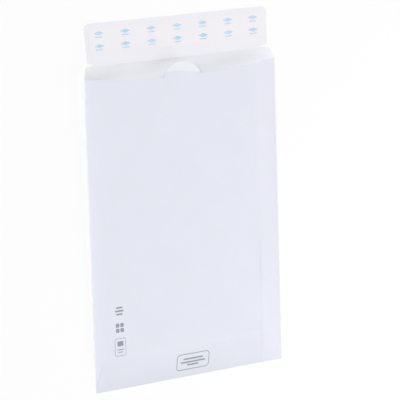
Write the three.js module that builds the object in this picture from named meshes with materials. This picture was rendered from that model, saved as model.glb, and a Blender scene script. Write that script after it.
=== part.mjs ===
// A paper pocket envelope, lying on its address side with the closing flap open.
// Lengths are in millimetres: +X runs across the pocket, +Y towards the flap and +Z up.
// The origin is on the surface that it lies on, below the middle of its outline.

import * as THREE from 'three';

// The sheet and the pocket
const PAPER = 0.2;                 // thickness of the sheet
const POCKET_WIDTH = 229;
const POCKET_LENGTH = 324;         // bottom fold to flap fold
const FOLD_GAP = 0.3;              // daylight left inside the sharp folds
const CUT_STEP = 0.15;             // width of the small step where a glued layer ends

// The mouth and the tongue on the near panel's top edge
const THROAT = 11;                 // flap fold down to the near panel's top corners
const MOUTH_DIP = 7.4;             // how much lower that top edge is cut in the middle
const TONGUE_WIDTH = 43;
const TONGUE_NECK = 3.2;           // straight sides of the tongue, up to its crease
const TONGUE_ARC = 11.7;           // height of its round top above the crease
const TONGUE_LEAN = 3;             // degrees that the round top leans back into the mouth

// The closing flap and the notches beside its fold
const FLAP_LENGTH = 42;            // flap fold to free edge, along the paper
const FLAP_INSET = 6;              // base of the flap, in from the pocket's side
const FLAP_FLARE = 1.5;            // how far each end stands out again at the free edge
const FLAP_CORNER = 6;             // radius of the corners at the free edge
const FLAP_HEEL = 2.5;             // radius of the corners beside the notches
const SHOULDER_TAPER = 2.2;        // how far the far panel's side slants in, beside the mouth
const SHOULDER_RADIUS = 4;         // and its round corner there
const NOTCH_DEPTH = 14;            // inner end of a notch, in from the pocket's side
const NOTCH_OPENING = 3.6;         // width of a notch at its mouth, up from the fold
const NOTCH_END = 1.2;             // width of a notch at its inner end

// The glued layers on the near panel
const SEAM_WIDTH = 27;             // strip folded in from the right side
const BOTTOM_FLAP = 33;            // height of the flap folded up from the bottom
const BOTTOM_FLAP_TOE = 1.2;       // its slanted end, in from the side fold at the bottom
const BOTTOM_FLAP_SHOULDER = 9;    // and at its top edge

// How the springy paper stands
const FOLD_RISE = 1.5;             // flap fold above the surface
const FOLD_RUN = 20;               // length of far panel that lifts towards that fold
const SHOULDER_LIFT = 4;           // side folds at the mouth, above the flap fold
const SIDE_CURL = 45;              // width of far panel that curls up to each side fold
const LEFT_BEVEL = 14;             // width of near panel that rounds down to the left fold
const PANEL_SWELL = 5.5;           // near panel above the side folds, past the bottom flap
const MOUTH_SWELL = 1.5;           // and at the mouth
const SWELL_ARCH = 0.25;           // part of that swell which is one wide arch

// The peel-and-seal strips on the inside of the flap
const LINER_WIDTH = 25;
const LINER_EDGE = 5;              // liner to the flap's free edge
const LINER_END = 3.5;             // liner to the ends of the flap's base
const LINER_THICKNESS = 0.1;
const LINER_CORNER = 2;
const ADHESIVE_WIDTH = 18;
const ADHESIVE_END = 4;            // liner that stands past each end of the adhesive
const ADHESIVE_THICKNESS = 0.1;
const ADHESIVE_CORNER = 1;
const STRIP_GAP = 0.05;            // daylight between the flap, the adhesive and the liner

// Fineness of the faceted sheet
const MARGIN_COLUMNS = 4;
const SPAN_COLUMNS = 5;
const TONGUE_COLUMNS = 10;
const BOTTOM_ROWS = 4;
const PANEL_ROWS = 9;
const LIFT_ROWS = 4;
const TONGUE_ROWS = 2;
const CORNER_STEPS = 3;
const CURVE_SEGMENTS = 3;
const DIP_REACH = 4;               // power by which the rows below the mouth lose its dip
const SAME_POINT = 4;              // decimals to which two points count as one

// Sizes that follow from those above
const HALF_WIDTH = POCKET_WIDTH / 2;
const SIDE_LENGTH = POCKET_LENGTH - THROAT;
const LIFT_START = POCKET_LENGTH - FOLD_RUN;
const SIDE_RISE = FOLD_RISE + SHOULDER_LIFT;
const FLAP_LEAN = Math.asin(FOLD_RISE / FLAP_LENGTH);
const FLAP_BASE = HALF_WIDTH - FLAP_INSET;
const FLAP_END = FLAP_BASE + FLAP_FLARE;
const TONGUE_HALF = TONGUE_WIDTH / 2;
const TONGUE_RADIUS = (TONGUE_HALF ** 2 + TONGUE_ARC ** 2) / (2 * TONGUE_ARC);
const TONGUE_DROP = Math.tan(THREE.MathUtils.degToRad(TONGUE_LEAN));
const OUTLINE_LENGTH = POCKET_LENGTH + FLAP_LENGTH * Math.cos(FLAP_LEAN);

const { clamp, lerp } = THREE.MathUtils;

// Heights of the sheet over a place u across the pocket and v up from the bottom fold

// Rises steeply from 0, then levels off at 1.
function levelOff(share) {
  const s = clamp(share, 0, 1);
  return s * (2 - s);
}

// Height of the side folds, and of the far panel's shoulders above them.
function sideHeight(v) {
  if (v <= SIDE_LENGTH) return SIDE_RISE * v / SIDE_LENGTH;
  return lerp(SIDE_RISE, FOLD_RISE, (v - SIDE_LENGTH) / THROAT);
}

// Underside of the far panel: flat in the middle, curled up at the sides, lifted to the flap fold.
function farHeight(u, v) {
  const lift = clamp((v - LIFT_START) / FOLD_RUN, 0, 1);
  const middle = FOLD_RISE * lift * lift;
  const curl = clamp((Math.abs(u) - HALF_WIDTH + SIDE_CURL) / SIDE_CURL, 0, 1);
  return lerp(middle, sideHeight(v), curl * curl);
}

// Underside of the near panel: rounded down to the bottom fold and to both side folds.
function nearHeight(u, v) {
  const sides = levelOff((HALF_WIDTH + u) / LEFT_BEVEL) * levelOff((HALF_WIDTH - u) / SEAM_WIDTH);
  const arch = 1 - (u / HALF_WIDTH) ** 2;
  const swell = lerp(PANEL_SWELL, MOUTH_SWELL, (v / SIDE_LENGTH) ** 2) * levelOff(v / BOTTOM_FLAP);
  return sideHeight(v) + PAPER + FOLD_GAP + swell * lerp(sides, arch, SWELL_ARCH);
}

// Outline of the sheet

// How far the near panel's top edge lies below the level of its corners.
function mouthDip(u) {
  return MOUTH_DIP * (1 - (u / HALF_WIDTH) ** 2);
}

// Height of the tongue's round top above its crease.
function tongueArc(u) {
  return Math.sqrt(TONGUE_RADIUS ** 2 - u ** 2) - TONGUE_RADIUS + TONGUE_ARC;
}

// Points of a rounded corner, as half-width and distance from the bottom fold along the paper.
function roundedCorner(halfWidth, along, radius, fromDegrees, toDegrees) {
  return Array.from({ length: CORNER_STEPS + 1 }, (_, step) => {
    const angle = THREE.MathUtils.degToRad(lerp(fromDegrees, toDegrees, step / CORNER_STEPS));
    return [halfWidth + radius * Math.cos(angle), along + radius * Math.sin(angle)];
  });
}

// Side of the far panel and flap above the mouth's corners: shoulder, notch, flap end.
function flapSide() {
  const shoulder = HALF_WIDTH - SHOULDER_TAPER - SHOULDER_RADIUS;
  const notchMiddle = POCKET_LENGTH + NOTCH_OPENING / 2;
  const heelBottom = POCKET_LENGTH + NOTCH_OPENING;
  const freeEdge = POCKET_LENGTH + FLAP_LENGTH;
  const notchEnd = HALF_WIDTH - NOTCH_DEPTH;
  return [
    ...roundedCorner(shoulder, POCKET_LENGTH - SHOULDER_RADIUS, SHOULDER_RADIUS, 0, 90),
    [notchEnd, notchMiddle - NOTCH_END / 2],
    [notchEnd, notchMiddle + NOTCH_END / 2],
    ...roundedCorner(FLAP_BASE - FLAP_HEEL, heelBottom + FLAP_HEEL, FLAP_HEEL, -90, 0),
    ...roundedCorner(FLAP_END - FLAP_CORNER, freeEdge - FLAP_CORNER, FLAP_CORNER, 0, 90),
  ];
}

// Rows and columns of the sheet

// Evenly spaced values after start, up to and with end.
function spread(start, end, count) {
  return Array.from({ length: count }, (_, step) => lerp(start, end, (step + 1) / count));
}

// Places across the pocket. The outer ones follow the bottom flap's slanted ends, and the pairs that
// lie a cut step apart carry the edges of the bottom flap and of the seam strip.
function columnsAt(v) {
  const share = clamp(v / BOTTOM_FLAP, 0, 1);
  const inset = lerp(BOTTOM_FLAP_TOE, BOTTOM_FLAP_SHOULDER, share * share);
  const margin = [0, ...spread(0, inset, MARGIN_COLUMNS), inset + CUT_STEP];
  const spanStart = BOTTOM_FLAP_SHOULDER + CUT_STEP - HALF_WIDTH;
  const seamEdge = HALF_WIDTH - SEAM_WIDTH;
  const tongue = Array.from({ length: TONGUE_COLUMNS + 1 }, (_, step) =>
    -TONGUE_HALF * Math.cos(Math.PI * step / TONGUE_COLUMNS));
  return [
    ...margin.map((offset) => offset - HALF_WIDTH),
    ...spread(spanStart, -TONGUE_HALF, SPAN_COLUMNS).slice(0, -1),
    ...tongue,
    ...spread(TONGUE_HALF, seamEdge, SPAN_COLUMNS),
    seamEdge + CUT_STEP,
    ...margin.map((offset) => HALF_WIDTH - offset).reverse(),
  ];
}

const LEFT_FLAP_EDGE = MARGIN_COLUMNS + 1;
const FIRST_TONGUE = LEFT_FLAP_EDGE + SPAN_COLUMNS;
const LAST_TONGUE = FIRST_TONGUE + TONGUE_COLUMNS;
const SEAM_COLUMN = LAST_TONGUE + SPAN_COLUMNS + 1;
const RIGHT_FLAP_EDGE = SEAM_COLUMN + 1;
const LAST_COLUMN = RIGHT_FLAP_EDGE + MARGIN_COLUMNS + 1;

// Rows of the pocket, up from the bottom fold to the near panel's top corners.
const POCKET_ROWS = [
  0,
  ...spread(0, BOTTOM_FLAP, BOTTOM_ROWS),
  BOTTOM_FLAP + CUT_STEP,
  ...spread(BOTTOM_FLAP + CUT_STEP, LIFT_START, PANEL_ROWS),
  ...spread(LIFT_START, SIDE_LENGTH, LIFT_ROWS),
];

// Layers of paper glued on the near panel's outside at a grid point. The folds themselves have none.
function gluedLayers(row, column) {
  const onSeam = column >= SEAM_COLUMN && column < LAST_COLUMN;
  const betweenEnds = column >= LEFT_FLAP_EDGE && column <= RIGHT_FLAP_EDGE;
  const onBottomFlap = row > 0 && row <= BOTTOM_ROWS && betweenEnds;
  return Number(onSeam) + Number(onBottomFlap);
}

// Collects the faces of one closed solid. Points that fall together become one.
class Solid {
  constructor() {
    this.positions = [];
    this.faces = [];
    this.known = new Map();
  }

  point([x, y, z]) {
    const key = [x, y, z].map((value) => value.toFixed(SAME_POINT)).join();
    if (!this.known.has(key)) {
      this.known.set(key, this.positions.length / 3);
      this.positions.push(x, y, z);
    }
    return this.known.get(key);
  }

  triangle(a, b, c) {
    const corners = [a, b, c].map((place) => this.point(place));
    if (new Set(corners).size === 3) this.faces.push(...corners);
  }

  // A wall from a lower run of points to an upper one, facing right as one walks along the runs.
  wall(lower, upper) {
    for (let k = 0; k + 1 < lower.length; k += 1) {
      this.triangle(lower[k], lower[k + 1], upper[k + 1]);
      this.triangle(lower[k], upper[k + 1], upper[k]);
    }
  }

  // A surface over rows of points that run towards +X, row after row towards +Y.
  surface(rows, facesUp) {
    for (let k = 0; k + 1 < rows.length; k += 1) {
      if (facesUp) this.wall(rows[k], rows[k + 1]);
      else this.wall([...rows[k]].reverse(), [...rows[k + 1]].reverse());
    }
  }

  geometry() {
    const geometry = new THREE.BufferGeometry();
    geometry.setAttribute('position', new THREE.Float32BufferAttribute(this.positions, 3));
    geometry.setIndex(this.faces);
    geometry.computeVertexNormals();
    return geometry;
  }
}

// Lifts every point of a run by the thickness of the paper.
function lifted(run) {
  return run.map(([x, y, z]) => [x, y, z + PAPER]);
}

// The pocket's inside is one thickness of paper in from its side folds and its bottom fold.
function inside(u, v) {
  const limit = HALF_WIDTH - PAPER;
  return [clamp(u, -limit, limit), Math.max(v, PAPER)];
}

// Near panel: underside and outside rows from the bottom fold to the mouth.
function nearPanelRows() {
  const under = [];
  const outer = [];
  POCKET_ROWS.forEach((rowHeight, row) => {
    const drop = (rowHeight / SIDE_LENGTH) ** DIP_REACH;
    const places = columnsAt(rowHeight).map((u) => [u, rowHeight - mouthDip(u) * drop]);
    under.push(places.map(([u, v]) => [...inside(u, v), nearHeight(u, v)]));
    outer.push(places.map(([u, v], column) =>
      [u, v, nearHeight(u, v) + PAPER * (1 + gluedLayers(row, column))]));
  });
  return { under, outer };
}

// Tongue: rows from the mouth's edge over the crease to the round top, underside only.
function tongueRows() {
  const columns = columnsAt(SIDE_LENGTH).slice(FIRST_TONGUE, LAST_TONGUE + 1);
  const rowAt = (neckShare, arcShare) => columns.map((u) => {
    const edge = SIDE_LENGTH - mouthDip(u);
    const crease = edge + TONGUE_NECK * neckShare;
    const reach = tongueArc(u) * arcShare;
    return [u, crease + reach, nearHeight(u, crease) - reach * TONGUE_DROP];
  });
  return [rowAt(0, 0), rowAt(1, 0), ...spread(0, 1, TONGUE_ROWS).map((share) => rowAt(1, share))];
}

// Far panel above the mouth's corners and the closing flap, underside only.
function flapRows() {
  const columns = columnsAt(SIDE_LENGTH);
  return flapSide().map(([halfWidth, along]) => {
    const onFlap = Math.max(along - POCKET_LENGTH, 0);
    const v = along - onFlap * (1 - Math.cos(FLAP_LEAN));
    return columns.map((column) => {
      const u = column * halfWidth / HALF_WIDTH;
      const z = onFlap > 0 ? FOLD_RISE - onFlap * Math.sin(FLAP_LEAN) : farHeight(u, v);
      return [u, v, z];
    });
  });
}

function envelopeBody() {
  const solid = new Solid();
  const first = (row) => row[0];
  const last = (row) => row[row.length - 1];

  // Far panel and flap, underside and inside
  const flap = flapRows();
  const farUnder = POCKET_ROWS.map((v) => columnsAt(v).map((u) => [u, v, farHeight(u, v)]));
  const farInside = POCKET_ROWS.map((v) =>
    columnsAt(v).map((u) => [...inside(u, v), farHeight(u, v) + PAPER]));
  solid.surface([...farUnder, ...flap], false);
  solid.surface([...farInside, ...flap.map(lifted)], true);

  // Near panel with its tongue, underside and outside
  const near = nearPanelRows();
  const tongue = tongueRows();
  solid.surface(near.under, false);
  solid.surface(near.outer, true);
  solid.surface(tongue, false);
  solid.surface(tongue.map(lifted), true);

  // Side folds and bottom fold, outside and inside
  const aroundPocket = (rows) => [...rows.map(first).reverse(), ...rows[0], ...rows.map(last)];
  solid.wall(aroundPocket(farUnder), aroundPocket(near.outer));
  solid.wall(aroundPocket(farInside).reverse(), aroundPocket(near.under).reverse());

  // Cut edge around the shoulders, the notches and the flap
  const aroundFlap = (rows) => [
    ...rows.map(last),
    ...[...last(rows)].reverse(),
    ...rows.map(first).reverse(),
  ];
  const farTop = last(farUnder);
  const farTopInside = last(farInside);
  solid.wall(aroundFlap([farTop, ...flap]), aroundFlap([farTopInside, ...flap.map(lifted)]));

  // Cut edge of the near panel and its tongue, from the right corner to the left one
  const aroundMouth = (edge, tongueFaces) => [
    ...edge.slice(LAST_TONGUE).reverse(),
    ...tongueFaces.map(last),
    ...[...last(tongueFaces)].reverse(),
    ...tongueFaces.map(first).reverse(),
    ...edge.slice(0, FIRST_TONGUE + 1).reverse(),
  ];
  const nearTop = last(near.under);
  const nearTopOuter = last(near.outer);
  solid.wall(aroundMouth(nearTop, tongue), aroundMouth(nearTopOuter, tongue.map(lifted)));

  // Ends of the side folds at the mouth
  solid.wall([last(farTop), last(farTopInside)], [last(nearTopOuter), last(nearTop)]);
  solid.wall([farTopInside[0], farTop[0]], [nearTop[0], nearTopOuter[0]]);
  return solid.geometry();
}

// A thin strip with rounded corners, lying in the XY plane with its middle on the origin.
function stripGeometry(length, width, corner, thickness) {
  const right = length / 2 - corner;
  const top = width / 2 - corner;
  const shape = new THREE.Shape();
  shape.absarc(right, top, corner, 0, Math.PI / 2);
  shape.absarc(-right, top, corner, Math.PI / 2, Math.PI);
  shape.absarc(-right, -top, corner, Math.PI, 1.5 * Math.PI);
  shape.absarc(right, -top, corner, 1.5 * Math.PI, 2 * Math.PI);
  return new THREE.ExtrudeGeometry(shape, {
    depth: thickness,
    bevelEnabled: false,
    curveSegments: CURVE_SEGMENTS,
  });
}

function paper(colour, roughness) {
  return new THREE.MeshStandardMaterial({ color: colour, roughness, metalness: 0 });
}

function namedMesh(name, geometry, material) {
  const mesh = new THREE.Mesh(geometry, material);
  mesh.name = name;
  return mesh;
}

const body = namedMesh('envelope_body', envelopeBody(), paper(0xe6e9f2, 0.9));

const linerLength = 2 * (FLAP_BASE - LINER_END);
const linerMiddle = FLAP_LENGTH - LINER_EDGE - LINER_WIDTH / 2;
const linerShape = stripGeometry(linerLength, LINER_WIDTH, LINER_CORNER, LINER_THICKNESS);
const liner = namedMesh('release_liner', linerShape, paper(0xeeeef2, 0.5));
liner.position.set(0, linerMiddle, ADHESIVE_THICKNESS + 2 * STRIP_GAP);

const adhesiveLength = linerLength - 2 * ADHESIVE_END;
const adhesiveShape = stripGeometry(adhesiveLength, ADHESIVE_WIDTH, ADHESIVE_CORNER, ADHESIVE_THICKNESS);
const adhesive = namedMesh('adhesive_strip', adhesiveShape, paper(0xefe9d8, 0.35));
adhesive.position.set(0, linerMiddle, STRIP_GAP);

// The strips lie on the inside of the flap, which slopes down from its fold.
const flapFace = new THREE.Group();
flapFace.position.set(0, POCKET_LENGTH, FOLD_RISE + PAPER);
flapFace.rotation.x = -FLAP_LEAN;
flapFace.add(adhesive, liner);

const envelope = new THREE.Group();
envelope.position.y = -OUTLINE_LENGTH / 2;
envelope.add(body, flapFace);

export default envelope;
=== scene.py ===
# A white paper pocket envelope, lying on its address side with the closing flap open.
# The sheet and the two strips on its flap are modelled again in the solids' places, with round folds,
# pressed layers and the unevenness of real paper. Lengths are in millimetres until a mesh is made of them:
# u runs across the pocket from its middle, v up from the bottom fold and along the paper of the flap.

import math

import bpy
import numpy as np
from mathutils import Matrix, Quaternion, Vector

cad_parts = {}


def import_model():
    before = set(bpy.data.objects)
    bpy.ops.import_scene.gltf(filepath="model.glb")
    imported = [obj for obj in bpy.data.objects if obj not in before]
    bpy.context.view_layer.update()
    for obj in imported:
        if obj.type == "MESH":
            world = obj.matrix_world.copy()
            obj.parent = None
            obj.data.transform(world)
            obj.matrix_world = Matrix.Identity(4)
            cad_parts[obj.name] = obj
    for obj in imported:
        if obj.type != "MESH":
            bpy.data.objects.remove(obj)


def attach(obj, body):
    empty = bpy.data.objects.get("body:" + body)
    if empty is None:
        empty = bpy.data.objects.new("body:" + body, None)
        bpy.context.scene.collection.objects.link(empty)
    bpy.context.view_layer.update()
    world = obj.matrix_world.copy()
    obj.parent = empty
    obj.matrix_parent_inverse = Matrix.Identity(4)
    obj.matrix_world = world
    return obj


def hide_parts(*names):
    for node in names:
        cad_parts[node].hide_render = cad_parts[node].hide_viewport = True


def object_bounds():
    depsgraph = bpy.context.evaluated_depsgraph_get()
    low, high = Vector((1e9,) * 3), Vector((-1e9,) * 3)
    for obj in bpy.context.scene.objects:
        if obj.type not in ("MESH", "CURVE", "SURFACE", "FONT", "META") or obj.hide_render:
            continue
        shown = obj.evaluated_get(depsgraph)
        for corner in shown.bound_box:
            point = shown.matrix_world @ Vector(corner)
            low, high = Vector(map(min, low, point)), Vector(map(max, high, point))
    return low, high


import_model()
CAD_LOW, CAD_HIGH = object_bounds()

MM = 0.001
FRAME_DECIMALS = 3                    # decimals of a millimetre to which the frame's box is read

# The sheet and the pocket. All sizes from here to the strips are those of the solids
HALF_WIDTH = round(CAD_HIGH.x / MM, FRAME_DECIMALS)
BOTTOM_FOLD_Y = round(CAD_LOW.y / MM, FRAME_DECIMALS)
PAPER = 0.2                           # thickness of the sheet
POCKET_LENGTH = 324                   # bottom fold to flap fold
FOLD_GAP = 0.3                        # daylight left inside the folds
CUT_STEP = 0.15                       # width of the small step where a glued layer ends

# The mouth and the tongue on the near panel's top edge
THROAT = 11                           # flap fold down to the near panel's top corners
MOUTH_DIP = 7.4                       # how much lower that top edge is cut in the middle
DIP_REACH = 4                         # power by which the rows below the mouth lose its dip
TONGUE_WIDTH = 43
TONGUE_NECK = 3.2                     # straight sides of the tongue
TONGUE_ARC = 11.7                     # height of its round top above them
TONGUE_LEAN = math.radians(3)         # angle by which it leans back into the mouth, past its crease

# The closing flap and the notches beside its fold
FLAP_LENGTH = 42                      # flap fold to free edge, along the paper
FLAP_INSET = 6                        # base of the flap, in from the pocket's side
FLAP_FLARE = 1.5                      # how far each end stands out again at the free edge
FLAP_CORNER = 6                       # radius of the corners at the free edge
FLAP_HEEL = 2.5                       # radius of the corners beside the notches
SHOULDER_TAPER = 2.2                  # how far the far panel's side slants in, beside the mouth
SHOULDER_RADIUS = 4                   # and its round corner there
NOTCH_DEPTH = 14                      # inner end of a notch, in from the pocket's side
NOTCH_OPENING = 3.6                   # width of a notch at its mouth, up from the fold
NOTCH_END = 1.2                       # width of a notch at its inner end

# The glued layers on the near panel
SEAM_WIDTH = 27                       # strip folded in from the right side
BOTTOM_FLAP = 33                      # height of the flap folded up from the bottom
BOTTOM_FLAP_TOE = 1.2                 # its slanted end, in from the side fold at the bottom
BOTTOM_FLAP_SHOULDER = 9              # and at its top edge

# How the springy paper stands
FOLD_RISE = 1.5                       # flap fold above the floor
FOLD_RUN = 20                         # length of far panel that lifts towards that fold
SHOULDER_LIFT = 4                     # side folds at the mouth, above the flap fold
SIDE_CURL = 45                        # width of far panel that curls up to each side fold
LEFT_BEVEL = 14                       # width of near panel that rounds down to the left fold
PANEL_SWELL = 5.5                     # near panel above the side folds, past the bottom flap
MOUTH_SWELL = 1.5                     # and at the mouth
SWELL_ARCH = 0.25                     # part of that swell which is one wide arch

# The peel-and-seal strips on the inside of the flap
LINER_WIDTH = 25
LINER_EDGE = 5                        # liner to the flap's free edge
LINER_END = 3.5                       # liner to the ends of the flap's base
LINER_THICKNESS = 0.1
LINER_CORNER = 2
ADHESIVE_WIDTH = 18
ADHESIVE_END = 4                      # liner that stands past each end of the adhesive
ADHESIVE_THICKNESS = 0.1
ADHESIVE_CORNER = 1
STRIP_GAP = 0.05                      # daylight between the flap, the adhesive and the liner

# What the real sheet has beyond the solids
OUTER_ROUND = PAPER + FOLD_GAP / 2    # radius of the folds, outside
INNER_ROUND = FOLD_GAP / 2            # and inside
INSET_REACH = 5                       # width over which the inside draws in from the folds
FOLD_FADE = 2.5                       # length over which a side fold opens out above the mouth
LIFT_POWER = 4                        # how suddenly the far panel lifts towards the flap fold
FOLD_EDGE = 0.35                      # distance from that fold at which the flap is flat again
GLUED_STEP = 0.06                     # height of a pressed layer's edge
FLUSH_STEP = 0.02                     # height of the bottom flap's top edge, which is pressed flush
LIP = 2.2                             # width over which a loose edge curls up
LIP_UNDERCUT = 0.4                    # how far the panel runs on below it
SEAM_LIP = (105, 34, 0.3)             # loose stretch of the seam strip's edge: middle, half length, height
END_LIP = (18, 16, 0.9)               # and of the bottom flap's left end
CREASE_SLANT = 0.66                   # tilt of the tongue's crease, as a share of its neck
CREASE_ARCH = 1.7                     # how much higher the crease is in the middle
CREASE_RUN = 1.5                      # width over which the tongue bends there
CREASE_HEIGHT = 0.2                   # height of the pressed ridge
CREASE_HALF = 3                       # and half its width
TONGUE_FADE = 1.5                     # length of tongue over which painted light, in the paler inside colour, comes in past its crease
SEAM_FADE = 6                         # width over which the doubled paper of the seam turns paler
FLAP_CURL = 0.9                       # lift of the flap's outer corners
FLAP_CURL_POWER = 4                   # how suddenly it rises towards the ends
END_CURL = 2.2                        # lift of the paper's corners beside the notches
END_CURL_POWER = 12                   # how suddenly it rises towards the sides
WAVE_HEIGHT = 0.22                    # unevenness of the near panel
WAVE_MARGIN = 45                      # distance from the folds at which it has its full height
WAVES = (                             # length across, length along, phase, share
    (46, 160, 0.4, 0.45),
    (-27, 95, 1.9, 0.3),
    (75, -58, 3.1, 0.25),
)

# Fineness of the mesh
ROUND_STEPS = 4
MARGIN_COLUMNS = 7
LEFT_COLUMNS = 28
TONGUE_COLUMNS = 40
RIGHT_COLUMNS = 24
SEAM_COLUMNS = 9
LIP_COLUMNS = 4
BOTTOM_ROWS = 14
PANEL_ROWS = 84
LIFT_ROWS = 6
SHOULDER_ROWS = 3
FOLD_EDGE_ROWS = 2
TONGUE_ROWS = 28
FLAP_ROWS = 8
CORNER_STEPS = 8
STRIP_COLUMNS = 80
STRIP_ROWS = 10
MERGE_DECIMALS = 4                    # decimals to which two points count as one
SHARP_ANGLE = math.radians(35)        # faces that meet more sharply show an edge

# Sizes that follow from those above
SIDE_LENGTH = POCKET_LENGTH - THROAT
LIFT_START = POCKET_LENGTH - FOLD_RUN
SIDE_RISE = FOLD_RISE + SHOULDER_LIFT
FLAP_LEAN = math.asin(FOLD_RISE / FLAP_LENGTH)
FLAP_BASE = HALF_WIDTH - FLAP_INSET
FLAP_END = FLAP_BASE + FLAP_FLARE
TONGUE_HALF = TONGUE_WIDTH / 2
TONGUE_RADIUS = (TONGUE_HALF ** 2 + TONGUE_ARC ** 2) / (2 * TONGUE_ARC)
SEAM_EDGE = HALF_WIDTH - SEAM_WIDTH
LINER_MIDDLE = FLAP_LENGTH - LINER_EDGE - LINER_WIDTH / 2
LINER_LENGTH = 2 * (FLAP_BASE - LINER_END)
ADHESIVE_LENGTH = LINER_LENGTH - 2 * ADHESIVE_END
LINER_GAP = ADHESIVE_THICKNESS + 2 * STRIP_GAP

# Colours of the paper and the print, as 8-bit screen values
OUTSIDE_PAPER = (230, 233, 243)
SEAM_PAPER = (233, 234, 245)
INSIDE_PAPER = (241, 241, 247)
CUT_PAPER = (240, 240, 243)
# Painted shade: the darker colour of the bottom flap's loose left end, for the shadow line along it
EDGE_SHADE_PAPER = (208, 211, 220)
LINER_PAPER = (243, 241, 245)
GLUE_FILM = (238, 233, 216)
GREY_INK = (128, 135, 147)
BLUE_INK = (176, 213, 240)

# Grain of the surfaces: sizes in millimetres, the range of noise that is used, and what comes of it
NOISE_DETAIL = 3.0
CLOUD_SIZE = 38                       # clouds, where the sheet is denser or thinner
CLOUD_RANGE = (0.3, 0.7)
CLOUD_TONE = (0.985, 1.005)           # by which they multiply the colour
FIBRE_SIZE = 0.7
EDGE_FIBRE = 0.25                     # fibres that show in a cut edge
LINER_FIBRE = 0.5
FIBRE_DETAIL = 4.0
FIBRE_STRETCH = (1, 0.35, 1)
FIBRE_RANGE = (0.25, 0.75)
FIBRE_TONE = (-0.025, 0.025)          # which they add to the clouds' tone
FELT_COARSENESS = 3                   # size of the felt's marks, in sizes of fibre
FELT_STRETCH = (0.5, 1, 1)
FELT_RANGE = (0.2, 0.8)
FELT_HEIGHT = 0.8                     # height of the felt's marks, as a share of the fibres'
PAPER_ROUGHNESS = (0.8, 0.95)
PAPER_SPECULAR = 0.25
PAPER_TOOTH = 0.05                    # depth of the bump
LINER_TOOTH = 0.02
TOOTH_STRENGTH = 0.35
GLOSS_SIZE = 3                        # patches of the liner's coating
GLOSS_DETAIL = 2.0
LINER_ROUGHNESS = (0.5, 0.62)
PEBBLE_SIZE = 1.4                     # pebbled surface of the glue
PEBBLE_TONE = (0.94, 1.02)
PEBBLE_DEPTH = 0.03
PEBBLE_STRENGTH = 0.4
GLUE_ROUGHNESS = (0.22, 0.4)

# Grey print on the near panel: heights up the panel, sizes across and along, radii of corners
PRINT_SOFT = 0.12                     # half the width over which a printed edge fades
WEAR_SIZE = 0.9                       # specks where the ink is thin
WEAR_RANGE = (0.25, 0.6)
GREY_COVER = (0.6, 0.92)              # share of the ink's colour that covers the paper
MARK_COLUMN = -87                     # middle of the three marks above each other
BARS_MIDDLE = 80                      # first mark: three bars
BARS_PITCH = 3.3
BARS_SIZE = (10, 1.7)
BARS_SHORTER = 2.4                    # by which the outer two are shorter
BARS_CORNER = 0.8
BLOCKS_MIDDLE = 63                    # second mark: two by two blocks
BLOCKS_PITCH = 5.2
BLOCKS_SIZE = (4, 4)
BLOCKS_CORNER = 0.9
CARD_MIDDLE = 43.5                    # third mark: a framed card
CARD_SIZE = (13, 18)
CARD_CORNER = 1.8
CARD_LINE = 0.5
CARD_BLOCK_MIDDLE = 47                # the block on the card
CARD_BLOCK_SIZE = (7, 5)
CARD_BLOCK_CORNER = 0.8
CARD_BARS_TOP = 41                    # the two bars below it
CARD_BARS_PITCH = 2.6
CARD_BARS_SIZE = (8, 0.9)
CARD_BARS_SHORTER = 2.5               # by which the lower one is shorter
CARD_BARS_CORNER = 0.4
PLATE_MIDDLE = 16                     # framed plate in the middle of the bottom flap
PLATE_SIZE = (40, 17)
PLATE_CORNER = 4
PLATE_LINE = 0.8
PLATE_BARS = ((19, 24), (15.6, 30), (12.6, 14))    # height and length of each bar on it
PLATE_BAR_THICKNESS = 1.6
PLATE_BAR_CORNER = 0.7

# Blue print on the liner: a lozenge with a dash below it, repeated. Halves are across, then along
BLUE_PITCH = (31, 12.5)
BLUE_CLOUD_SIZE = 24
BLUE_COVER = (0.55, 0.95)
LOZENGE_MIDDLE = 7.3                  # above the line where its row begins
LOZENGE_HALF = (6.2, 2.1)
LOZENGE_SOFT = 0.05                   # half the share of its size over which its edge fades
DASH_MIDDLE = 3.6
DASH_HALF = (4.2, 0.525)
DASH_SOFT = (0.2, 0.075)              # half the width over which its ends and its sides fade

# Camera, at the photograph's angle: what it looks at on the floor, and from where
CAMERA_TARGET = (20.11, -5.57, 0)
CAMERA_AZIMUTH = math.radians(-105.338)
CAMERA_ELEVATION = math.radians(54.216)
CAMERA_ROLL = math.radians(100.234)
CAMERA_DISTANCE = 2805.1
CAMERA_LENS = 250.715
CAMERA_SENSOR = 36

# Lamps: name, place and size in metres, and how brightly each lights a card that faces it, 1 being full
LAMPS = (
    ("left_softbox", (-7.24, 1.94, 8.32), 3.0, 0.445),
    ("corner_softbox", (-3.6, 6.24, 8.58), 12.0, 0.495),
    ("right_softbox", (1.0, -0.6, 0.4), 0.6, 0.41),
)
WORLD_STRENGTH = 0.25
WHITE = (1, 1, 1, 1)
WHITE_STRENGTH = 1.0                  # at which a background shows as white
FLOOR_SIZE = 8                        # metres, as is the floor's drop below the envelope
FLOOR_DROP = 0.0001
FLOOR_COLOUR = (0.97, 0.97, 0.97, 1)
FLOOR_GLOW = 0.7                      # share of the floor that shows white, whatever light falls on it


# Small formulas

def lerp(start, end, share):
    """A share of the way from start to end."""
    return start + (end - start) * share


def level_off(share):
    """Rises steeply from 0, then levels off at 1."""
    s = np.clip(share, 0, 1)
    return s * (2 - s)


def quarter_round(share):
    """Rises from 0 along a quarter circle, to 1."""
    away = 1 - np.clip(share, 0, 1)
    return np.sqrt(1 - away * away)


def bell(offset):
    """1 at 0, falling softly to 0 at 1 and beyond."""
    s = np.clip(1 - offset * offset, 0, 1)
    return s * s


def spread(start, end, count):
    """Evenly spaced values after start, up to and with end."""
    return list(np.linspace(start, end, count + 1)[1:])


# Heights of the sheet

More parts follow.
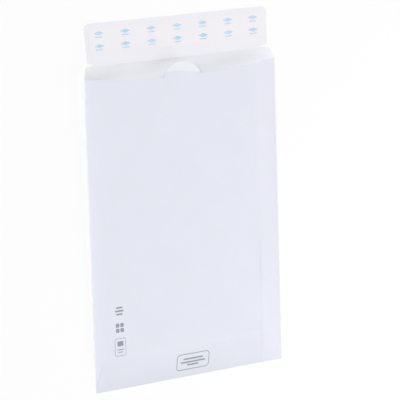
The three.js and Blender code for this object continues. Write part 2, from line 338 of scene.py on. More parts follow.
def side_height(v):
    """Height of the side folds, and of the far panel's shoulders above them."""
    below = SIDE_RISE * v / SIDE_LENGTH
    above = lerp(SIDE_RISE, FOLD_RISE, (v - SIDE_LENGTH) / THROAT)
    return np.where(v <= SIDE_LENGTH, below, above)


def end_curl(u, v):
    """Lift of the shoulders beside the flap fold and of the flap's ends, most at the notches."""
    shoulder = np.clip((v - SIDE_LENGTH) / THROAT, 0, 1)
    flap_end = np.clip((POCKET_LENGTH + FLAP_LENGTH - v) / FLAP_LENGTH, 0, 1)
    return END_CURL * np.abs(u / HALF_WIDTH) ** END_CURL_POWER * shoulder * flap_end


def far_height(u, v):
    """Underside of the far panel: flat in the middle, curled up at the sides, lifted to the flap fold."""
    lift = np.clip((v - LIFT_START) / FOLD_RUN, 0, 1)
    curl = np.clip((np.abs(u) - HALF_WIDTH + SIDE_CURL) / SIDE_CURL, 0, 1)
    return lerp(FOLD_RISE * lift ** LIFT_POWER, side_height(v), curl ** 2) + end_curl(u, v)


def unevenness(u, v):
    """Soft rises and hollows of the springy near panel, none at its folds."""
    height = sum(share * np.sin(u / across + v / along + phase) for across, along, phase, share in WAVES)
    sides = level_off((HALF_WIDTH - np.abs(u)) / WAVE_MARGIN)
    return WAVE_HEIGHT * height * sides * level_off(v / WAVE_MARGIN)


def near_height(u, v):
    """Underside of the near panel: rounded down to the bottom fold and to both side folds."""
    sides = level_off((HALF_WIDTH + u) / LEFT_BEVEL) * level_off((HALF_WIDTH - u) / SEAM_WIDTH)
    arch = 1 - (u / HALF_WIDTH) ** 2
    swell = lerp(PANEL_SWELL, MOUTH_SWELL, (v / SIDE_LENGTH) ** 2) * level_off(v / BOTTOM_FLAP)
    return side_height(v) + PAPER + FOLD_GAP + swell * lerp(sides, arch, SWELL_ARCH) + unevenness(u, v)


def flap_height(u, on_flap):
    """Underside of the flap, which slopes from its fold to the floor with its corners a little up."""
    curl = FLAP_CURL * np.abs(u / FLAP_END) ** FLAP_CURL_POWER * (on_flap / FLAP_LENGTH) ** 2
    return FOLD_RISE - on_flap * math.sin(FLAP_LEAN) + curl + end_curl(u, POCKET_LENGTH + on_flap)


def looseness(v, lip):
    """1 in the middle of a loose stretch of edge, 0 past its ends."""
    middle, half_length, _ = lip
    return bell((v - middle) / half_length)


def lip_height(from_edge, v, lip):
    """Height by which a glued layer stands up near the loose stretch of its edge."""
    _, _, height = lip
    curl = 1 - np.clip(from_edge / LIP, 0, 1)
    return height * looseness(v, lip) * curl ** 2


# Folds of the pocket

def folded(v):
    """1 along the pocket, 0 above the mouth's corners, where the sheet has cut edges instead of folds."""
    return 1 - np.clip((v - SIDE_LENGTH) / FOLD_FADE, 0, 1)


def fold_drop(u, v, radius):
    """How far a face has turned towards the other panel at the pocket's round folds."""
    side = lerp(1, quarter_round((HALF_WIDTH - np.abs(u)) / radius), folded(v))
    return radius * (1 - side * quarter_round(v / radius))


def inside(u, v):
    """Where a place of the pocket's inside lies: a thickness of paper in from the folds."""
    side_share = np.clip(1 - (HALF_WIDTH - np.abs(u)) / INSET_REACH, 0, 1) * folded(v)
    bottom_share = np.clip(1 - v / INSET_REACH, 0, 1)
    return u - np.sign(u) * PAPER * side_share, v + PAPER * bottom_share


# Outline of the sheet

def mouth_dip(u):
    """How far the near panel's top edge lies below the level of its corners."""
    return MOUTH_DIP * (1 - (u / HALF_WIDTH) ** 2)


def tongue_arc(u):
    """Height of the tongue's round top above its neck."""
    return np.sqrt(TONGUE_RADIUS ** 2 - u ** 2) - TONGUE_RADIUS + TONGUE_ARC


def rounded_corner(half_width, along, radius, from_degrees, to_degrees):
    """Points of a rounded corner, as half-width and distance from the bottom fold along the paper."""
    angles = np.radians(np.linspace(from_degrees, to_degrees, CORNER_STEPS + 1))
    return list(zip(half_width + radius * np.cos(angles), along + radius * np.sin(angles)))


def run(start, end, shares):
    """Points on the straight line between two others."""
    return [(lerp(start[0], end[0], share), lerp(start[1], end[1], share)) for share in shares]


def flap_side():
    """Side of the far panel and flap above the mouth's corners: shoulder, notch, flap end."""
    shoulder = (HALF_WIDTH - SHOULDER_TAPER, POCKET_LENGTH - SHOULDER_RADIUS)
    shoulder_end = (shoulder[0] - SHOULDER_RADIUS, POCKET_LENGTH)
    notch_round = NOTCH_END / 2
    notch_end = (HALF_WIDTH - NOTCH_DEPTH + notch_round, POCKET_LENGTH + NOTCH_OPENING / 2)
    notch_start = (notch_end[0], notch_end[1] - notch_round)
    fold_edge = FOLD_EDGE / (notch_start[1] - POCKET_LENGTH)
    heel = (FLAP_BASE, POCKET_LENGTH + NOTCH_OPENING + FLAP_HEEL)
    corner = (FLAP_END, POCKET_LENGTH + FLAP_LENGTH - FLAP_CORNER)
    return [
        *run((HALF_WIDTH, SIDE_LENGTH), shoulder, spread(0, 1, SHOULDER_ROWS)[:-1]),
        *rounded_corner(shoulder[0] - SHOULDER_RADIUS, shoulder[1], SHOULDER_RADIUS, 0, 90),
        *run(shoulder_end, notch_start, spread(0, fold_edge, FOLD_EDGE_ROWS)),
        *rounded_corner(*notch_end, notch_round, 270, 90),
        *rounded_corner(heel[0] - FLAP_HEEL, heel[1], FLAP_HEEL, -90, 0),
        *run(heel, corner, spread(0, 1, FLAP_ROWS)[:-1]),
        *rounded_corner(corner[0] - FLAP_CORNER, corner[1], FLAP_CORNER, 0, 90),
    ]


# Rows and columns of the sheet

# Distances from a fold at which its round turns, and the tongue's columns as shares of its half width
FOLD_STEPS = list(OUTER_ROUND * (1 - np.cos(np.linspace(0, math.pi / 2, ROUND_STEPS + 1))))
TONGUE_PLACES = -np.cos(np.linspace(0, math.pi, TONGUE_COLUMNS + 1))


def flap_end_inset(v):
    """How far the bottom flap's slanted ends lie in from the side folds."""
    return lerp(BOTTOM_FLAP_TOE, BOTTOM_FLAP_SHOULDER, np.clip(v / BOTTOM_FLAP, 0, 1) ** 2)


def columns_at(v):
    """Places across the pocket. The outer ones follow the bottom flap's slanted ends, and the pairs that
    lie a cut step apart carry the edges of the bottom flap and of the seam strip."""
    inset = flap_end_inset(v)
    margin = np.array([*FOLD_STEPS, *spread(OUTER_ROUND, inset, MARGIN_COLUMNS), inset + CUT_STEP])
    left_lip = margin[-1] - HALF_WIDTH
    seam_lip = SEAM_EDGE + CUT_STEP
    return [
        *(margin - HALF_WIDTH),
        *spread(left_lip, left_lip + LIP, LIP_COLUMNS),
        *spread(left_lip + LIP, -TONGUE_HALF, LEFT_COLUMNS)[:-1],
        *(TONGUE_HALF * TONGUE_PLACES),
        *spread(TONGUE_HALF, SEAM_EDGE, RIGHT_COLUMNS),
        seam_lip,
        *spread(seam_lip, seam_lip + LIP, LIP_COLUMNS),
        *spread(seam_lip + LIP, HALF_WIDTH - margin[-1], SEAM_COLUMNS)[:-1],
        *(HALF_WIDTH - margin)[::-1],
    ]


# Numbers of the columns at the layers' edges and the tongue's sides, and of the bottom flap's last row
LEFT_FLAP_EDGE = ROUND_STEPS + MARGIN_COLUMNS + 1
FIRST_TONGUE = LEFT_FLAP_EDGE + LIP_COLUMNS + LEFT_COLUMNS
LAST_TONGUE = FIRST_TONGUE + TONGUE_COLUMNS
SEAM_COLUMN = LAST_TONGUE + RIGHT_COLUMNS + 1
RIGHT_FLAP_EDGE = SEAM_COLUMN + LIP_COLUMNS + SEAM_COLUMNS
LAST_BOTTOM_ROW = ROUND_STEPS + BOTTOM_ROWS

POCKET_ROWS = [
    *FOLD_STEPS,
    *spread(OUTER_ROUND, BOTTOM_FLAP, BOTTOM_ROWS),
    BOTTOM_FLAP + CUT_STEP,
    *spread(BOTTOM_FLAP + CUT_STEP, LIFT_START, PANEL_ROWS),
    *spread(LIFT_START, SIDE_LENGTH, LIFT_ROWS),
]


def glued_height(u, v):
    """Height of the layers glued on the near panel's outside, at each point of its grid."""
    on_seam = np.zeros(u.shape)
    on_seam[:, SEAM_COLUMN:] = 1
    on_flap = np.zeros(u.shape)
    on_flap[:LAST_BOTTOM_ROW + 1, LEFT_FLAP_EDGE:RIGHT_FLAP_EDGE + 1] = 1
    seam = GLUED_STEP + lip_height(u - SEAM_EDGE - CUT_STEP, v, SEAM_LIP)
    flap_end = HALF_WIDTH - flap_end_inset(v) - CUT_STEP
    pressed = lerp(GLUED_STEP, FLUSH_STEP, np.clip(v / BOTTOM_FLAP, 0, 1) ** 2)
    return on_seam * seam + on_flap * (pressed + lip_height(u + flap_end, v, END_LIP))


def undercut(v):
    """How far each point of the near panel's grid lies to the right, below the loose edges."""
    shift = np.zeros(v.shape)
    shift[:, SEAM_COLUMN - 1] = looseness(v[:, SEAM_COLUMN - 1], SEAM_LIP)
    flap_rows = slice(0, LAST_BOTTOM_ROW + 1)
    shift[flap_rows, LEFT_FLAP_EDGE - 1] = looseness(v[flap_rows, LEFT_FLAP_EDGE - 1], END_LIP)
    return LIP_UNDERCUT * shift


# Faces of the sheet, as grids of points

# What a point holds: its place x, y and z, then u and v on the flat drawing, then its painted light, which
# pales the tongue's outside past its crease
PLACE = slice(0, 3)
HEIGHT = 2
FLAT = slice(3, 5)
PAINTED_LIGHT = 5


def grid(u, v, z, x=None, y=None, painted_light=0.0):
    """A grid of points over u and v. It lies at x and y where they are given."""
    x = u if x is None else x
    y = v if y is None else y
    parts = np.broadcast_arrays(x, y + BOTTOM_FOLD_Y, z, u, v, painted_light)
    return np.stack(parts, axis=-1)


def raised(face, height):
    """The same grid, higher up."""
    copy = face.copy()
    copy[..., HEIGHT] += height
    return copy


def open_rim(face):
    """A grid's edge without its first row: up the right side, back along the last row, down the left."""
    return np.concatenate((face[:, -1], face[-1, ::-1], face[::-1, 0]))


def closed_rim(face):
    """A grid's whole edge, from the start of its first row."""
    return np.concatenate((face[0], open_rim(face)))


def pocket_places():
    """u and v of every point of the pocket's grid, with straight rows."""
    u = np.array([columns_at(v) for v in POCKET_ROWS])
    v = np.repeat(np.array(POCKET_ROWS)[:, None], u.shape[1], axis=1)
    return u, v


def near_panel():
    """Underside and outside of the near panel, from the bottom fold to the mouth."""
    u, row = pocket_places()
    v = row - mouth_dip(u) * (row / SIDE_LENGTH) ** DIP_REACH
    x, y = inside(u, v)
    bottom = near_height(u, v)
    under = grid(u, v, bottom - fold_drop(u, v, INNER_ROUND), x, y)
    turned = fold_drop(u, v, OUTER_ROUND)
    glued = glued_height(u, v) * (1 - turned / OUTER_ROUND)
    outer = grid(u, v, bottom + PAPER + glued - turned, u + undercut(v))
    return under, outer


def far_panel():
    """Underside and inside of the far panel, from the bottom fold to the mouth's corners."""
    u, v = pocket_places()
    x, y = inside(u, v)
    bottom = far_height(u, v)
    under = grid(u, v, bottom + fold_drop(u, v, OUTER_ROUND))
    inner = grid(u, v, bottom + PAPER + fold_drop(u, v, INNER_ROUND), x, y)
    return under, inner


def tongue():
    """Underside and outside of the tongue, from the mouth's edge to its round top."""
    across = TONGUE_PLACES[None, :]
    share = np.linspace(0, 1, TONGUE_ROWS + 1)[:, None]
    u = across * TONGUE_HALF
    edge = SIDE_LENGTH - mouth_dip(u)
    past_edge = share * (TONGUE_NECK + tongue_arc(u))
    crease = TONGUE_NECK * (1 - CREASE_SLANT * across) + CREASE_ARCH * (1 - across ** 2)
    past_crease = np.maximum(past_edge - crease, 0)
    bend = past_crease ** 2 / (past_crease + CREASE_RUN) * math.tan(TONGUE_LEAN)
    ridge = CREASE_HEIGHT * bell((past_edge - crease) / CREASE_HALF) * level_off(past_edge / TONGUE_NECK)
    bottom = near_height(u, edge + np.minimum(past_edge, TONGUE_NECK)) - bend + ridge
    # Painted light: past its crease the tongue's outside is painted in the paler inside colour, for the
    # light it catches as it leans back
    painted_light = level_off(past_crease / TONGUE_FADE)
    under = grid(u, edge + past_edge, bottom, painted_light=painted_light)
    return under, raised(under, PAPER)


def flap():
    """Underside and inside of the far panel above the mouth's corners, and of the closing flap."""
    side = np.array(flap_side())
    columns = np.array(columns_at(SIDE_LENGTH))[None, :]
    along = side[:, 1:]
    u = columns * side[:, :1] / HALF_WIDTH
    on_flap = np.maximum(along - POCKET_LENGTH, 0)
    y = along - on_flap * (1 - math.cos(FLAP_LEAN))
    throat = far_height(u, along)
    bottom = np.where(on_flap > 0, flap_height(u, on_flap), throat)
    x, _ = inside(columns, along)
    under = grid(u, along, bottom + fold_drop(columns, along, OUTER_ROUND) * folded(along), y=y)
    inner = grid(u, along, bottom + PAPER + fold_drop(columns, along, INNER_ROUND) * folded(along),
                 x * side[:, :1] / HALF_WIDTH, y)
    return under, inner


# Meshes made of such faces

# Names by which the materials find what the points hold
FLAT_MAP = "flat"
PAINTED_LIGHT_NAME = "painted_light"


def placed(name, data):
    """A new object in the scene."""
    made = bpy.data.objects.new(name, data)
    bpy.context.collection.objects.link(made)
    return made


class Sheet:
    """Collects the faces of one closed sheet. Points that fall together become one."""

    def __init__(self):
        self.points = []
        self.faces = []
        self.looks = []
        self.count = 0

    def surface(self, face, look=0, up=True):
        """A grid whose rows run towards +X, row after row towards +Y, facing up or down. Its look is the
        number of a material, or one for each face."""
        rows, columns = face.shape[:2]
        number = np.arange(rows * columns).reshape(rows, columns) + self.count
        corners = (number[:-1, :-1], number[:-1, 1:], number[1:, 1:], number[1:, :-1])
        quads = np.stack(corners, axis=-1).reshape(-1, len(corners))
        self.points.append(face.reshape(-1, face.shape[2]))
        self.faces.extend((quads if up else quads[:, ::-1]).tolist())
        self.looks.extend(np.broadcast_to(look, (rows - 1, columns - 1)).ravel().tolist())
        self.count += rows * columns

    def wall(self, lower, upper, look=0):
        """A wall from a lower run of points to an upper one, facing right as one walks along them."""
        self.surface(np.stack((lower, upper)), look)

    def merged(self):
        """Points, faces and looks, with one point at each place and without the faces that shrink away."""
        points = np.concatenate(self.points)
        # Adding zero makes -0.0 the same as 0.0
        keys = np.round(points[:, PLACE], MERGE_DECIMALS) + 0.0
        _, first, numbers = np.unique(keys, axis=0, return_index=True, return_inverse=True)
        numbers = numbers.reshape(-1).tolist()
        faces = []
        looks = []
        for face, look in zip(self.faces, self.looks):
            corners = list(dict.fromkeys(numbers[corner] for corner in face))
            if len(corners) > 2:
                faces.append(corners)
                looks.append(look)
        return points[first], faces, looks

    def piece(self, name, materials):
        """The finished object, with the flat drawing's u and v as its UV map."""
        points, faces, looks = self.merged()
        mesh = bpy.data.meshes.new(name)
        mesh.from_pydata((points[:, PLACE] * MM).tolist(), [], faces)
        for material in materials:
            mesh.materials.append(material)
        mesh.polygons.foreach_set("material_index", looks)
        mesh.polygons.foreach_set("use_smooth", [True] * len(faces))
        mesh.set_sharp_from_angle(angle=SHARP_ANGLE)
        corner_points = np.empty(len(mesh.loops), dtype=np.int32)
        mesh.loops.foreach_get("vertex_index", corner_points)
        mesh.uv_layers.new(name=FLAT_MAP).data.foreach_set("uv", points[corner_points, FLAT].ravel())
        mesh.attributes.new(PAINTED_LIGHT_NAME, "FLOAT", "POINT").data.foreach_set("value", points[:, PAINTED_LIGHT])
        mesh.update()
        return placed(name, mesh)


# Looks of the sheet, by the number of their material
FRONT, BACK, INSIDE, CUT, SHADED_EDGE = range(5)


def near_looks(face):
    """The near panel's outside, with painted shade on the cut edge of the bottom flap's left end, which
    stands for the shadow line there.
    """
    rows, columns = face.shape[:2]
    looks = np.full((rows - 1, columns - 1), FRONT)
    # Painted shade: the step at the bottom flap's left end gets a darker paper, for its shadow line
    looks[:LAST_BOTTOM_ROW, LEFT_FLAP_EDGE - 1] = SHADED_EDGE
    return looks


def around_mouth(edge, tongue_face):
    """The near panel's cut edge from the right corner to the left one, over the tongue."""
    right = edge[LAST_TONGUE:][::-1]
    left = edge[:FIRST_TONGUE + 1][::-1]
    return np.concatenate((right, open_rim(tongue_face), left))


def paper_sheet(materials):
    """The cut, folded and glued sheet: pocket, tongue and closing flap."""
    sheet = Sheet()
    far_under, far_inner = far_panel()
    flap_under, flap_inner = flap()
    near_under, near_outer = near_panel()
    tongue_under, tongue_outer = tongue()
    under = np.concatenate((far_under, flap_under))
    inner = np.concatenate((far_inner, flap_inner))
    sheet.surface(under, BACK, up=False)
    sheet.surface(inner, INSIDE)
    sheet.surface(near_under, INSIDE, up=False)
    sheet.surface(near_outer, near_looks(near_outer))
    sheet.surface(tongue_under, INSIDE, up=False)
    sheet.surface(tongue_outer, FRONT)
    cut_rows = len(far_under) - 1
    sheet.wall(open_rim(under[cut_rows:]), open_rim(inner[cut_rows:]), CUT)
    sheet.wall(around_mouth(near_under[-1], tongue_under), around_mouth(near_outer[-1], tongue_outer), CUT)
    return sheet.piece("paper_sheet", materials)


def strip_side(length, width, corner):
    """Right side of a strip with rounded corners, as half-length and distance from its middle line."""
    half = width / 2
    turn = np.linspace(0, math.pi / 2, CORNER_STEPS + 1)
    straight = spread(corner - half, half - corner, STRIP_ROWS)[:-1]
    return np.array([
        *zip(length / 2 - corner * (1 - np.sin(turn)), corner * (1 - np.cos(turn)) - half),
        *[(length / 2, across) for across in straight],
        *zip(length / 2 - corner * (1 - np.cos(turn)), half - corner * (1 - np.sin(turn))),
    ])


def strip(name, length, width, corner, thickness, lift, material):
    """A thin strip with rounded corners on the inside of the flap, a lift above its paper."""
    side = strip_side(length, width, corner)
    u = np.linspace(-1, 1, STRIP_COLUMNS + 1)[None, :] * side[:, :1]
    across = side[:, 1:]
    on_flap = LINER_MIDDLE + across
    y = POCKET_LENGTH + on_flap * math.cos(FLAP_LEAN)
    under = grid(u, across, flap_height(u, on_flap) + PAPER + lift, y=y)
    upper = raised(under, thickness)
    sheet = Sheet()
    sheet.surface(under, up=False)
    sheet.surface(upper)
    sheet.wall(closed_rim(under), closed_rim(upper))
    return sheet.piece(name, [material])


# Colours and nodes

SCREEN_WHITE = 255

# The sRGB curve: a straight start, then a power
SRGB_START = 0.04045
SRGB_SLOPE = 12.92
SRGB_OFFSET = 0.055
SRGB_POWER = 2.4

# Sockets by which the Mix node takes and gives colours
MIX_SHARE, MIX_FIRST, MIX_SECOND = 0, 6, 7
MIX_RESULT = 2


def light_share(value):
    """An 8-bit screen value as a share of full light."""
    share = value / SCREEN_WHITE
    if share <= SRGB_START:
        return share / SRGB_SLOPE
    return ((share + SRGB_OFFSET) / (1 + SRGB_OFFSET)) ** SRGB_POWER


def linear(colour):
    """A screen colour as Blender's linear one."""
    return (*[light_share(value) for value in colour], 1.0)


class Nodes:
    """Short calls for the nodes of a material or of the world."""

    def __init__(self, tree):
        self.tree = tree

    def feed(self, socket, value):
        """Links a socket to another node's output, or sets it to a plain value."""
        if isinstance(value, bpy.types.NodeSocket):
            self.tree.links.new(value, socket)
        else:
            socket.default_value = value

    def node(self, kind, inputs=None, **settings):
        """A new node, with its settings and inputs."""
        made = self.tree.nodes.new("ShaderNode" + kind)
        for name, value in settings.items():
            setattr(made, name, value)
        for socket, value in (inputs or {}).items():
            self.feed(made.inputs[socket], value)
        return made

    def number(self, operation, *values):
        """What an operation makes of some numbers."""
        return self.node("Math", dict(enumerate(values)), operation=operation).outputs[0]

    def vector(self, operation, *values):
        """What an operation makes of some vectors: another vector, or a length."""
        made = self.node("VectorMath", dict(enumerate(values)), operation=operation)
        return made.outputs["Value" if operation == "LENGTH" else "Vector"]

    def ramp(self, value, low, high, to_low=0.0, to_high=1.0):
        """A value between low and high, moved to between two others and held at their ends."""
        inputs = {"Value": value, "From Min": low, "From Max": high, "To Min": to_low, "To Max": to_high}
        return self.node("MapRange", inputs).outputs[0]

    def below(self, value, limit, soft):
        """1 where a value is below a limit, 0 where it is above, with a soft change between."""
        return self.ramp(value, limit + soft, limit - soft)

    def background_rays(self):
        """1 where a ray shows the background, straight or by a reflection, 0 where it only brings light."""
        rays = self.node("LightPath").outputs
        reflected = self.number("MAXIMUM", rays["Is Glossy Ray"], rays["Is Transmission Ray"])
        return self.number("MAXIMUM", rays["Is Camera Ray"], reflected)


class Look(Nodes):
    """A piece's material under construction. Its nodes read the flat drawing's u and v."""

    def __init__(self, name):
        self.material = bpy.data.materials.new(name)
        self.material.use_nodes = True
        super().__init__(self.material.node_tree)
        self.shader = self.tree.nodes["Principled BSDF"].inputs
        self.flat = self.node("UVMap", uv_map=FLAT_MAP).outputs[0]

    def noise(self, size, detail=NOISE_DETAIL, stretch=(1, 1, 1)):
        """Noise with features of about a size in millimetres."""
        place = self.vector("MULTIPLY", self.flat, tuple(part / size for part in stretch))
        return self.node("TexNoise", {"Vector": place, "Scale": 1.0, "Detail": detail}).outputs[0]

    def blend(self, share, first, second):
        """The first colour, the second, or a share of the way between."""
        inputs = {MIX_SHARE: share, MIX_FIRST: first, MIX_SECOND: second}
        return self.node("Mix", inputs, data_type="RGBA").outputs[MIX_RESULT]

    def paint(self, colour, tone):
        """Gives the surface a colour, multiplied by a tone that varies over it."""
        made = self.node("VectorMath", {0: colour, "Scale": tone}, operation="SCALE")
        self.feed(self.shader["Base Color"], made.outputs["Vector"])

    def roughen(self, noise, used, roughness):
        """Gives the surface a roughness that varies with noise."""
        self.feed(self.shader["Roughness"], self.ramp(noise, *used, *roughness))

    def bump(self, height, strength, depth):
        """Gives the surface a fine relief of a depth in millimetres."""
        made = self.node("Bump", {"Strength": strength, "Distance": depth * MM, "Height": height})
        self.feed(self.shader["Normal"], made.outputs[0])


# Print

def box_mask(look, centre, size, corner):
    """1 inside a rounded box on the flat drawing, 0 outside it."""
    half = (size[0] / 2 - corner, size[1] / 2 - corner, 0)
    away = look.vector("ABSOLUTE", look.vector("SUBTRACT", look.flat, (*centre, 0)))
    past = look.vector("MAXIMUM", look.vector("SUBTRACT", away, half), (0, 0, 0))
    return look.below(look.vector("LENGTH", past), corner, PRINT_SOFT)


def frame_mask(look, centre, size, corner, line):
    """1 on the outline of a rounded box, a line wide."""
    hole = (size[0] - 2 * line, size[1] - 2 * line)
    outer = box_mask(look, centre, size, corner)
    return look.number("SUBTRACT", outer, box_mask(look, centre, hole, corner - line))


def bars_mark(look):
    """Three bars, the middle one the longest."""
    length, thickness = BARS_SIZE
    masks = []
    for step in (-1, 0, 1):
        centre = (MARK_COLUMN, BARS_MIDDLE + BARS_PITCH * step)
        masks.append(box_mask(look, centre, (length - BARS_SHORTER * abs(step), thickness), BARS_CORNER))
    return masks


def blocks_mark(look):
    """Four blocks, two by two."""
    offset = BLOCKS_PITCH / 2
    masks = []
    for across in (-offset, offset):
        for along in (-offset, offset):
            centre = (MARK_COLUMN + across, BLOCKS_MIDDLE + along)
            masks.append(box_mask(look, centre, BLOCKS_SIZE, BLOCKS_CORNER))
    return masks


def card_mark(look):
    """A framed card with a block and two bars on it."""
    length, thickness = CARD_BARS_SIZE
    masks = [
        frame_mask(look, (MARK_COLUMN, CARD_MIDDLE), CARD_SIZE, CARD_CORNER, CARD_LINE),
        box_mask(look, (MARK_COLUMN, CARD_BLOCK_MIDDLE), CARD_BLOCK_SIZE, CARD_BLOCK_CORNER),
    ]
    for step in (0, 1):
        centre = (MARK_COLUMN, CARD_BARS_TOP - CARD_BARS_PITCH * step)
        size = (length - CARD_BARS_SHORTER * step, thickness)
        masks.append(box_mask(look, centre, size, CARD_BARS_CORNER))
    return masks


def plate_mark(look):
    """A framed plate with three bars on it."""
    masks = [frame_mask(look, (0, PLATE_MIDDLE), PLATE_SIZE, PLATE_CORNER, PLATE_LINE)]
    for along, length in PLATE_BARS:
        masks.append(box_mask(look, (0, along), (length, PLATE_BAR_THICKNESS), PLATE_BAR_CORNER))
    return masks


def grey_print(look):
    """1 on the plain grey shapes near the left side and at the bottom, 0 beside them."""
    total, *others = [*bars_mark(look), *blocks_mark(look), *card_mark(look), *plate_mark(look)]
    for mask in others:
        total = look.number("MAXIMUM", total, mask)
    return total


def blue_print(look):
    """1 on two rows of lozenges with a short dash below each, 0 beside them."""
    pitch_across, pitch_along = BLUE_PITCH
    place = look.node("SeparateXYZ", {0: look.flat}).outputs
    across = look.number("ABSOLUTE", look.number("WRAP", place[0], pitch_across / 2, -pitch_across / 2))
    along = look.number("WRAP", place[1], pitch_along, 0.0)
    from_lozenge = look.number("ABSOLUTE", look.number("SUBTRACT", along, LOZENGE_MIDDLE))
    share_across = look.number("DIVIDE", across, LOZENGE_HALF[0])
    share_along = look.number("DIVIDE", from_lozenge, LOZENGE_HALF[1])
    lozenge = look.below(look.number("ADD", share_across, share_along), 1, LOZENGE_SOFT)
    from_dash = look.number("ABSOLUTE", look.number("SUBTRACT", along, DASH_MIDDLE))
    dash_length = look.below(across, DASH_HALF[0], DASH_SOFT[0])
    dash_width = look.below(from_dash, DASH_HALF[1], DASH_SOFT[1])
    return look.number("MAXIMUM", lozenge, look.number("MULTIPLY", dash_length, dash_width))


# Materials

def paper_grain(look, colour, fibre_size, tooth):
    """Uneven colour and tooth of paper, from its clouds, its fibres and the marks of the felt."""
    clouds = look.noise(CLOUD_SIZE)
    fibres = look.noise(fibre_size, FIBRE_DETAIL, FIBRE_STRETCH)
    felt = look.noise(fibre_size * FELT_COARSENESS, stretch=FELT_STRETCH)
    cloud_tone = look.ramp(clouds, *CLOUD_RANGE, *CLOUD_TONE)
    fibre_tone = look.ramp(fibres, *FIBRE_RANGE, *FIBRE_TONE)
    look.paint(colour, look.number("ADD", cloud_tone, fibre_tone))
    look.bump(look.number("ADD", fibres, look.number("MULTIPLY", felt, FELT_HEIGHT)), TOOTH_STRENGTH, tooth)
    look.feed(look.shader["Specular IOR Level"], PAPER_SPECULAR)
    return felt


def uncoated(look, colour, fibre_size=FIBRE_SIZE):
    """The envelope's matte paper, in a colour."""
    felt = paper_grain(look, colour, fibre_size, PAPER_TOOTH)
    look.roughen(felt, FELT_RANGE, PAPER_ROUGHNESS)


def front_paper():
    """Outside of the near panel and the tongue, with the grey print and painted light that pales the tongue
    past its crease.
    """
    look = Look("paper_front")
    across = look.node("SeparateXYZ", {0: look.flat}).outputs[0]
    doubled = look.ramp(across, SEAM_EDGE, SEAM_EDGE + SEAM_FADE)
    outside = look.blend(doubled, linear(OUTSIDE_PAPER), linear(SEAM_PAPER))
    # Painted light: the tongue is painted paler past its crease, in the inside colour
    painted_light = look.node("Attribute", attribute_name=PAINTED_LIGHT_NAME).outputs["Fac"]
    paper = look.blend(painted_light, outside, linear(INSIDE_PAPER))
    cover = look.ramp(look.noise(WEAR_SIZE), *WEAR_RANGE, *GREY_COVER)
    ink = look.number("MULTIPLY", grey_print(look), cover)
    uncoated(look, look.blend(ink, paper, linear(GREY_INK)))
    return look.material


def plain_paper(name, colour, fibre_size=FIBRE_SIZE):
    """Paper with nothing printed on it."""
    look = Look(name)
    uncoated(look, linear(colour)[:3], fibre_size)
    return look.material


def liner_paper():
    """Smooth release paper with a pale blue print."""
    look = Look("release_paper")
    cover = look.ramp(look.noise(BLUE_CLOUD_SIZE), *CLOUD_RANGE, *BLUE_COVER)
    ink = look.number("MULTIPLY", blue_print(look), cover)
    paper_grain(look, look.blend(ink, linear(LINER_PAPER), linear(BLUE_INK)), LINER_FIBRE, LINER_TOOTH)
    look.roughen(look.noise(GLOSS_SIZE, GLOSS_DETAIL), FELT_RANGE, LINER_ROUGHNESS)
    return look.material


def glue_film():
    """Clear, tacky glue with a fine pebbled surface."""
    look = Look("glue_film")
    pebbles = look.noise(PEBBLE_SIZE)
    look.paint(linear(GLUE_FILM)[:3], look.ramp(pebbles, *CLOUD_RANGE, *PEBBLE_TONE))
    look.roughen(pebbles, CLOUD_RANGE, GLUE_ROUGHNESS)
    look.bump(pebbles, PEBBLE_STRENGTH, PEBBLE_DEPTH)
    return look.material


def floor_white():
    """White wherever it shows, but for a share that the light and the envelope's shadow fall on."""
    material = bpy.data.materials.new("floor_white")
    material.use_nodes = True
    nodes = Nodes(material.node_tree)
    nodes.tree.nodes.clear()
    glow = nodes.number("MULTIPLY", nodes.background_rays(), FLOOR_GLOW)
    lit = nodes.node("BsdfDiffuse", {"Color": FLOOR_COLOUR}).outputs[0]
    white = nodes.node("Emission", {"Color": WHITE, "Strength": WHITE_STRENGTH}).outputs[0]
    surface = nodes.node("MixShader", {0: glow, 1: lit, 2: white}).outputs[0]
    nodes.node("OutputMaterial", {"Surface": surface})
    return material


# The studio

def floor():
    """A plain floor that the envelope lies on."""
    mesh = bpy.data.meshes.new("floor")
    half = FLOOR_SIZE / 2
    corners = [(-half, -half), (half, -half), (half, half), (-half, half)]
    mesh.from_pydata([(x, y, -FLOOR_DROP) for x, y in corners], [], [(0, 1, 2, 3)])
    mesh.materials.append(floor_white())
    plane = placed("floor", mesh)


def world():
    """Even white light from all round, which shows as plain white."""
    made = bpy.data.worlds.new("studio")
    bpy.context.scene.world = made
    made.use_nodes = True
    nodes = Nodes(made.node_tree)
    background = nodes.tree.nodes["Background"].inputs
    nodes.feed(background["Color"], WHITE)
    strength = nodes.ramp(nodes.background_rays(), 0.0, 1.0, WORLD_STRENGTH, WHITE_STRENGTH)
    nodes.feed(background["Strength"], strength)


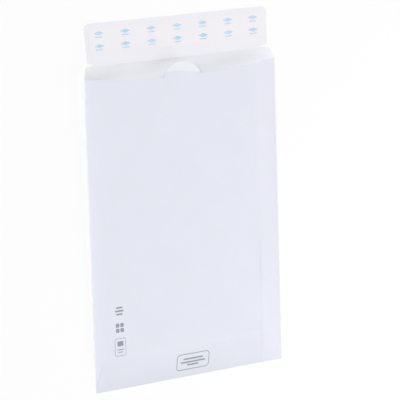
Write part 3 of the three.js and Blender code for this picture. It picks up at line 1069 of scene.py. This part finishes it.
def lamps():
    """White softboxes that look at the envelope."""
    for name, place, size, brightness in LAMPS:
        light = bpy.data.lights.new(name, "AREA")
        light.shape = "DISK"
        light.size = size
        # A white card that faces a small disk of (pi d) ** 2 watts from a distance d looks fully white
        light.energy = brightness * (math.pi * Vector(place).length) ** 2
        lamp = placed(name, light)
        lamp.location = place
        lamp.rotation_euler = (-Vector(place)).to_track_quat("-Z", "Y").to_euler()


def camera():
    """The photograph's viewpoint, with the image taken as a square."""
    data = bpy.data.cameras.new("camera")
    data.sensor_width = CAMERA_SENSOR
    data.lens = CAMERA_LENS
    level = math.cos(CAMERA_ELEVATION)
    back = Vector((math.sin(CAMERA_AZIMUTH) * level, -math.cos(CAMERA_AZIMUTH) * level,
                   math.sin(CAMERA_ELEVATION)))
    upright = back.to_track_quat("Z", "Y")
    viewer = placed("camera", data)
    viewer.location = (Vector(CAMERA_TARGET) + back * CAMERA_DISTANCE) * MM
    viewer.rotation_euler = (upright @ Quaternion((0, 0, 1), CAMERA_ROLL)).to_euler()
    bpy.context.scene.camera = viewer


def main():
    """The three pieces, then the studio."""
    bpy.context.scene.view_settings.view_transform = "Standard"
    papers = [
        front_paper(),
        plain_paper("paper_back", OUTSIDE_PAPER),
        plain_paper("paper_inside", INSIDE_PAPER),
        plain_paper("paper_cut", CUT_PAPER, EDGE_FIBRE),
        # Painted shade for the shadow line at the bottom flap's left end
        plain_paper("paper_shaded_edge", EDGE_SHADE_PAPER, EDGE_FIBRE),
    ]
    envelope = paper_sheet(papers)
    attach(envelope, "root")
    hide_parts("envelope_body")

    glue = strip("glue_band", ADHESIVE_LENGTH, ADHESIVE_WIDTH, ADHESIVE_CORNER, ADHESIVE_THICKNESS,
                 STRIP_GAP, glue_film())
    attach(glue, "root")
    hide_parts("adhesive_strip")

    liner = strip("peel_strip", LINER_LENGTH, LINER_WIDTH, LINER_CORNER, LINER_THICKNESS,
                  LINER_GAP, liner_paper())
    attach(liner, "root")
    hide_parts("release_liner")

    floor()
    world()
    lamps()
    camera()


main()
